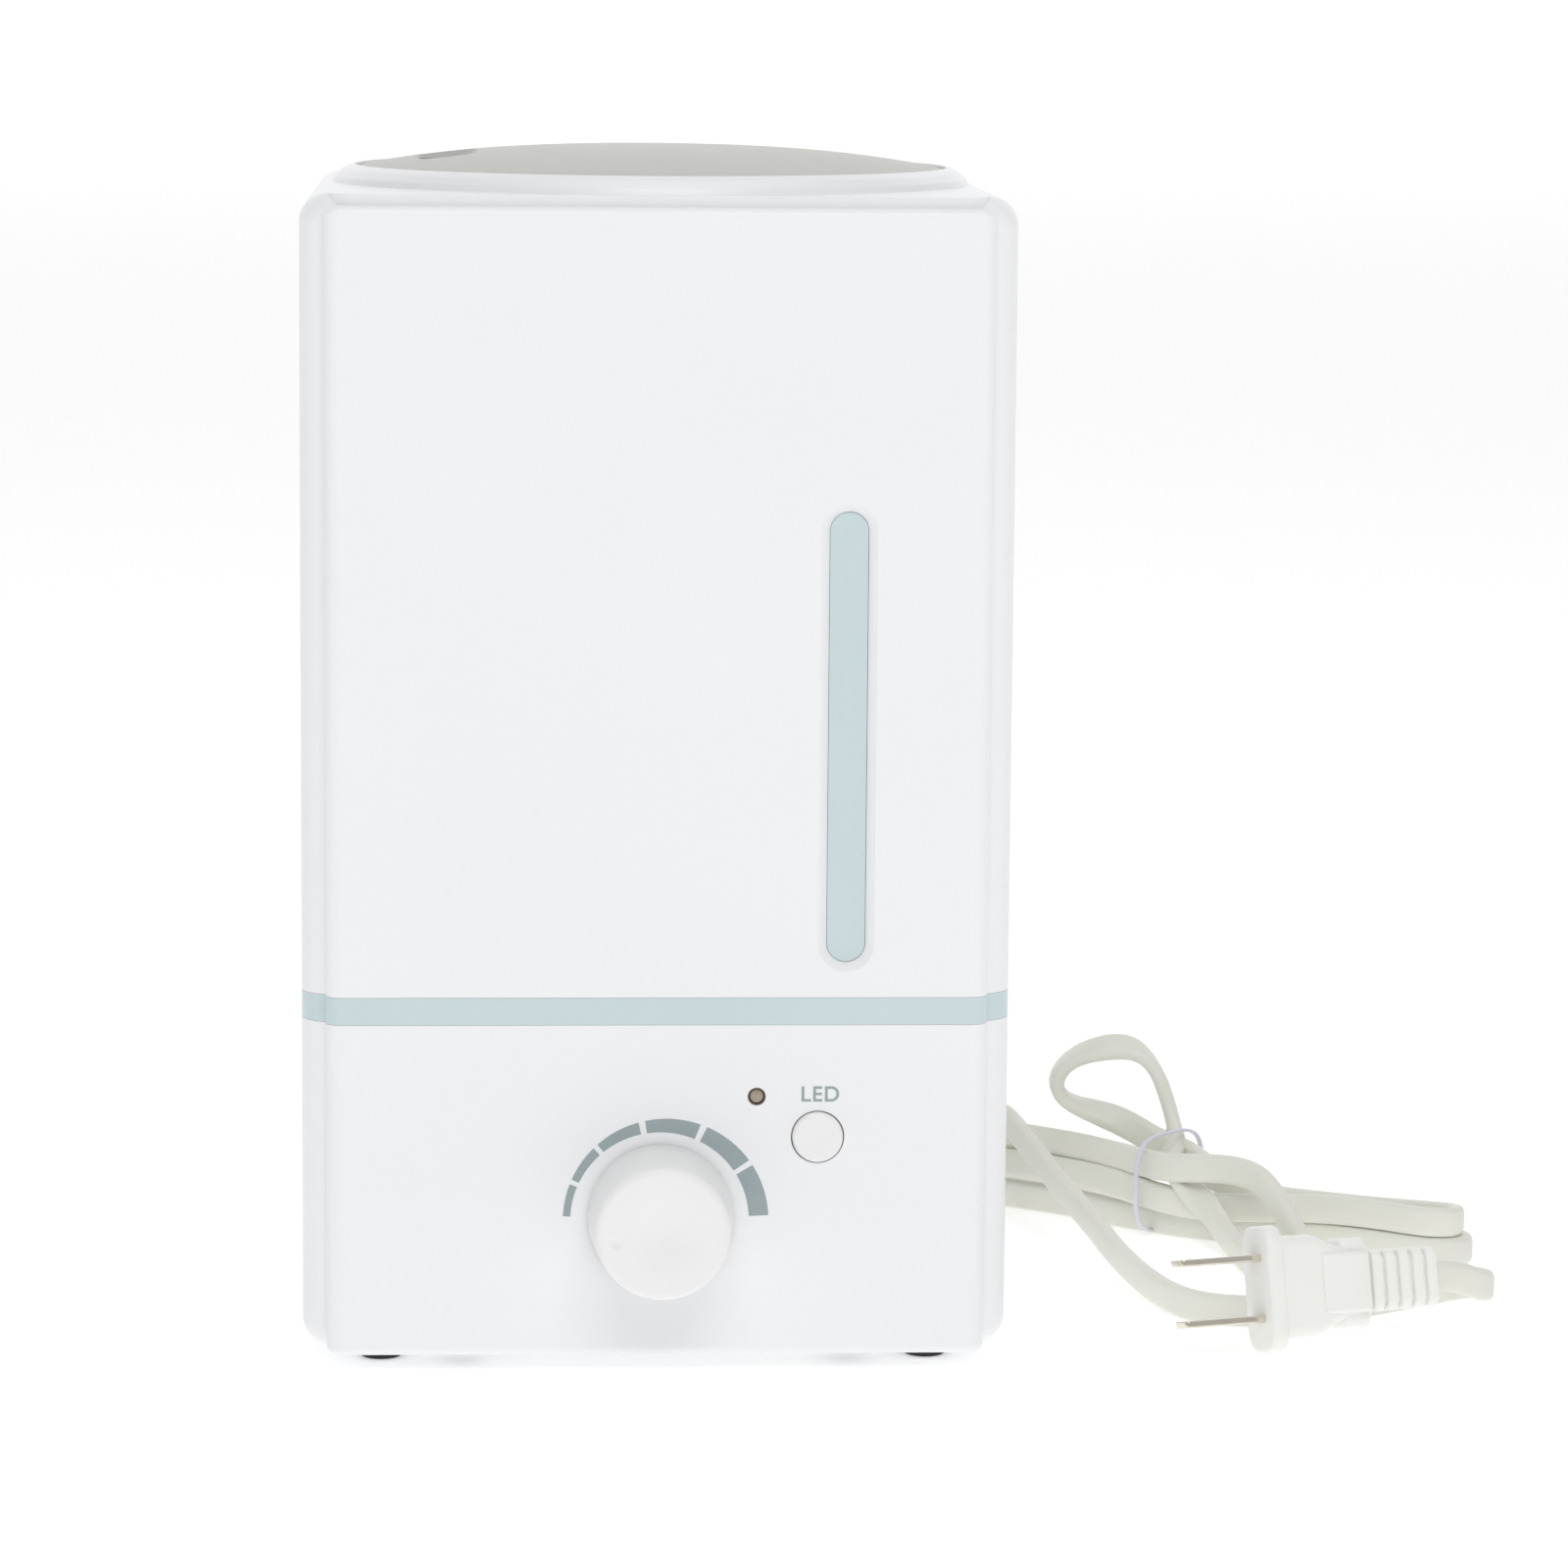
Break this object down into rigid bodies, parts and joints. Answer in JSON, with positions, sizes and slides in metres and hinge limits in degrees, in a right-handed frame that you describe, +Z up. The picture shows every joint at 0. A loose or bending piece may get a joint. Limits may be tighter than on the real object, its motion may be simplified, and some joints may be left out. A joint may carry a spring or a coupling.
{
  "type": "cool mist humidifier",
  "caption": "Square tabletop cool mist humidifier: lift-off water tank over an ultrasonic base, turning round mist lid, output dial, push button, level window and a tied flat mains lead.",
  "frame": {"origin": "on the floor plane, under the centre of the humidifier's own bounding box (knob included, mains lead left out)", "axes": "+Z up, the front panel with the dial faces -Y, +X to the right seen from the front"},
  "size_m": [0.2578, 0.2346, 0.2485],
  "materials": {
    "white_shell": "satin moulded, white",
    "white_trim": "satin moulded, warm white",
    "blue_tank": "clear pale-blue plastic, smooth",
    "grey_lid": "smooth light grey",
    "rubber": "matte black",
    "steel": "plain",
    "aluminium": "satin",
    "transducer_metal": "plated",
    "circuit_board": "lacquered board",
    "dark_plastic": "matte",
    "lens": "clear moulded lens, unlit",
    "foam": "open foam",
    "cord_jacket": "soft vinyl, satin",
    "tie_wire": "plastic-coated wire",
    "blade_metal": "nickel plated"
  },
  "bodies": {
    "base": {"base_housing": "white_shell", "water_basin": "white_trim", "bottom_cover": "white_shell", "foot_pad_front_left": "rubber", "foot_pad_front_right": "rubber", "foot_pad_back_left": "rubber", "foot_pad_back_right": "rubber", "screw_front_left": "steel", "screw_front_right": "steel", "screw_back_left": "steel", "screw_back_right": "steel", "transducer_seal": "rubber", "transducer_disc": "transducer_metal", "transducer_plate": "aluminium", "float_clip": "white_trim", "fan_housing": "dark_plastic", "air_duct": "white_trim", "intake_filter": "foam", "pot_body": "aluminium", "pot_nut": "steel", "button_switch": "dark_plastic", "indicator_light": "lens", "control_board": "circuit_board", "glow_board": "circuit_board", "glow_led_left": "lens", "glow_led_right": "lens", "power_board": "circuit_board", "transformer": "dark_plastic", "heat_sink": "aluminium", "capacitor": "dark_plastic", "strain_relief": "cord_jacket", "cord_lead": "cord_jacket", "cord_hank": "cord_jacket", "cord_tail": "cord_jacket", "cord_tie": "tie_wire", "plug_body": "cord_jacket", "plug_blade_upper": "blade_metal", "plug_blade_lower": "blade_metal"},
    "tank": {"tank_cover": "white_shell", "level_window": "blue_tank", "tank_floor": "blue_tank", "tank_shell": "blue_tank", "mist_chimney": "blue_tank"},
    "lid": {"mist_lid": "grey_lid"},
    "cap": {"tank_cap": "white_trim", "cap_seal": "rubber"},
    "valve": {"valve_plunger": "white_trim", "valve_spring": "steel"},
    "knob": {"dial_knob": "white_trim", "pot_shaft": "steel"},
    "button": {"led_button": "white_trim"},
    "float": {"level_float": "foam"},
    "fan": {"fan_impeller": "dark_plastic"}
  },
  "joints": [
    {"name": "tank_lift", "type": "slide", "parent": "base", "child": "tank", "axis": [0, 0, 1], "range_m": [0, 0.25]},
    {"name": "lid_turn", "type": "hinge", "parent": "tank", "child": "lid", "pos_m": [0, 0.009, 0.243], "axis": [0, 0, 1], "continuous": true},
    {"name": "cap_turn", "type": "hinge", "parent": "tank", "child": "cap", "pos_m": [0.024, 0.015, 0.066], "axis": [0, 0, -1], "range_deg": [0, 120]},
    {"name": "valve_slide", "type": "slide", "parent": "cap", "child": "valve", "axis": [0, 0, 1], "range_m": [-0.004, 0], "deforming": ["valve_spring"]},
    {"name": "knob_turn", "type": "hinge", "parent": "base", "child": "knob", "pos_m": [0.0008, -0.0635, 0.0332], "axis": [0, 1, 0], "range_deg": [0, 200]},
    {"name": "button_press", "type": "slide", "parent": "base", "child": "button", "axis": [0, 1, 0], "range_m": [0, 0.0012], "stiffness_N_per_m": 400, "springref_m": -0.001},
    {"name": "float_rise", "type": "slide", "parent": "base", "child": "float", "axis": [0, 0, 1], "range_m": [0, 0.01]},
    {"name": "fan_spin", "type": "hinge", "parent": "base", "child": "fan", "pos_m": [-0.034, 0.041, 0.019], "axis": [0, 0, 1], "continuous": true}
  ],
  "couplings": [
    {"joint": "valve_slide", "follows": "tank_lift", "ratio": -0.016}
  ]
}
